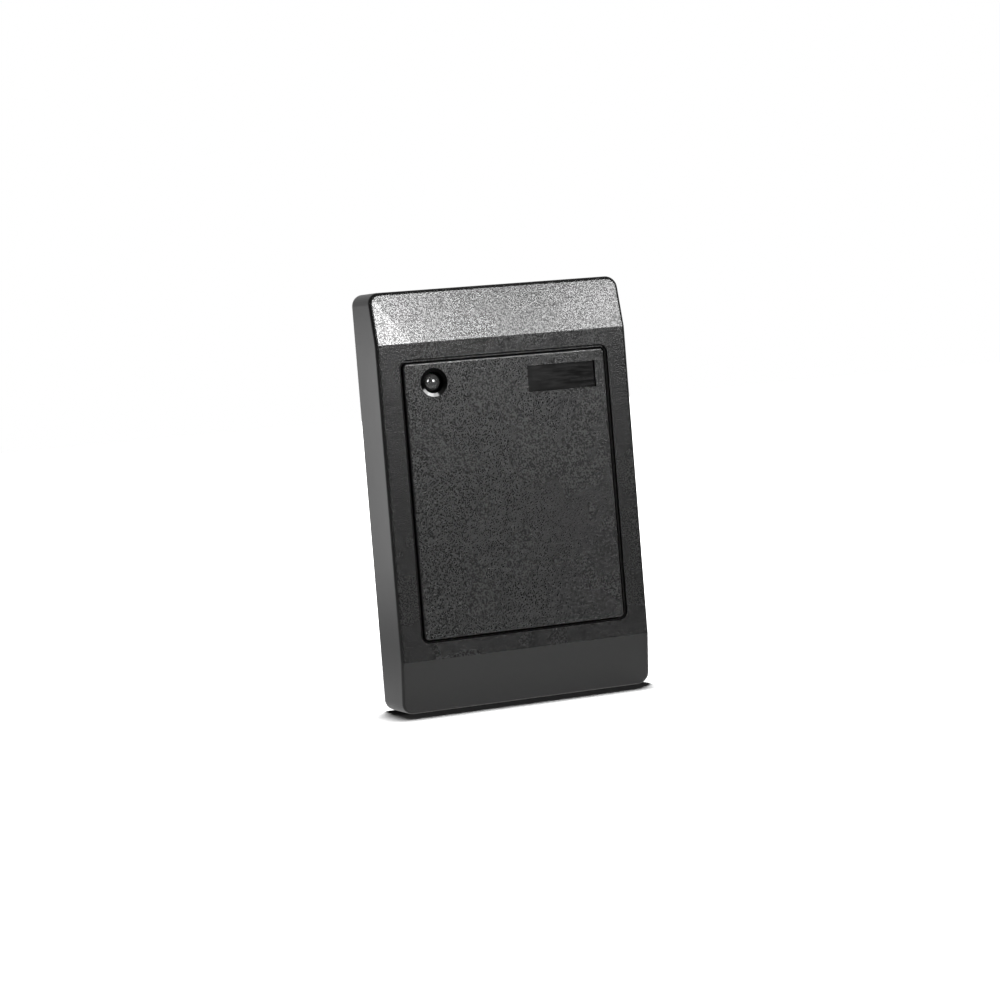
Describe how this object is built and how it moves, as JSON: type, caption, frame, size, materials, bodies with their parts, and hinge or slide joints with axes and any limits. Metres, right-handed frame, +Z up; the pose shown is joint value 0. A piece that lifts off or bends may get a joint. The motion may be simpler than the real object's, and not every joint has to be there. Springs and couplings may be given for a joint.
{
  "type": "rfid card reader",
  "caption": "Slim wall-mounted proximity card reader with a sloped black case, a clip-in front panel, a domed status light and a blank nameplate.",
  "frame": {"origin": "centre of the back face, where the reader meets the wall", "axes": "+X to the right as seen from the front, +Y out of the back into the wall, +Z up; the front faces -Y"},
  "size_m": [0.075, 0.0165, 0.116],
  "materials": {
    "black_abs": "spark-eroded fine grain, satin",
    "gloss_black": "smooth",
    "rubber": "matt",
    "zinc_steel": "zinc plated",
    "lamp_epoxy": "diffused clear epoxy, polished",
    "tinned_metal": "tin plated",
    "natural_nylon": "natural",
    "board_green": "solder mask over glass laminate",
    "enamelled_copper": "enamelled copper winding",
    "chip_epoxy": "moulded epoxy",
    "can_aluminium": "satin",
    "film_red": "dipped film",
    "ceramic_tan": "fired ceramic"
  },
  "bodies": {
    "case": {"antenna_coil": "enamelled_copper", "antenna_lead_1": "enamelled_copper", "antenna_lead_2": "enamelled_copper", "board_screw_1": "zinc_steel", "board_screw_2": "zinc_steel", "board_screw_3": "zinc_steel", "board_screw_4": "zinc_steel", "buzzer": "gloss_black", "cable_grommet": "rubber", "cable_header": "natural_nylon", "case_screw_1": "zinc_steel", "case_screw_2": "zinc_steel", "case_screw_3": "zinc_steel", "case_screw_4": "zinc_steel", "chip_capacitor_1": "ceramic_tan", "chip_capacitor_2": "ceramic_tan", "chip_capacitor_3": "ceramic_tan", "chip_capacitor_4": "ceramic_tan", "chip_resistor_1": "chip_epoxy", "chip_resistor_2": "chip_epoxy", "chip_resistor_3": "chip_epoxy", "chip_resistor_4": "chip_epoxy", "chip_resistor_5": "chip_epoxy", "chip_resistor_6": "chip_epoxy", "circuit_board": "board_green", "crystal": "tinned_metal", "driver_transistor_1": "chip_epoxy", "driver_transistor_2": "chip_epoxy", "driver_transistor_3": "chip_epoxy", "electrolytic_capacitor_1": "can_aluminium", "electrolytic_capacitor_2": "can_aluminium", "front_shell": "black_abs", "microcontroller": "chip_epoxy", "protection_diode": "chip_epoxy", "reader_chip": "chip_epoxy", "rear_cover": "black_abs", "rear_seal": "rubber", "status_light_leg_1": "tinned_metal", "status_light_leg_2": "tinned_metal", "status_light_leg_3": "tinned_metal", "status_light_lens": "lamp_epoxy", "status_light_spacer": "natural_nylon", "tuning_capacitor": "film_red", "voltage_regulator": "chip_epoxy"},
    "panel": {"front_panel": "black_abs", "nameplate": "gloss_black"}
  },
  "joints": [
    {"name": "panel_pull", "type": "slide", "parent": "case", "child": "panel", "axis": [0, -1, 0], "range_m": [0, 0.02]}
  ]
}
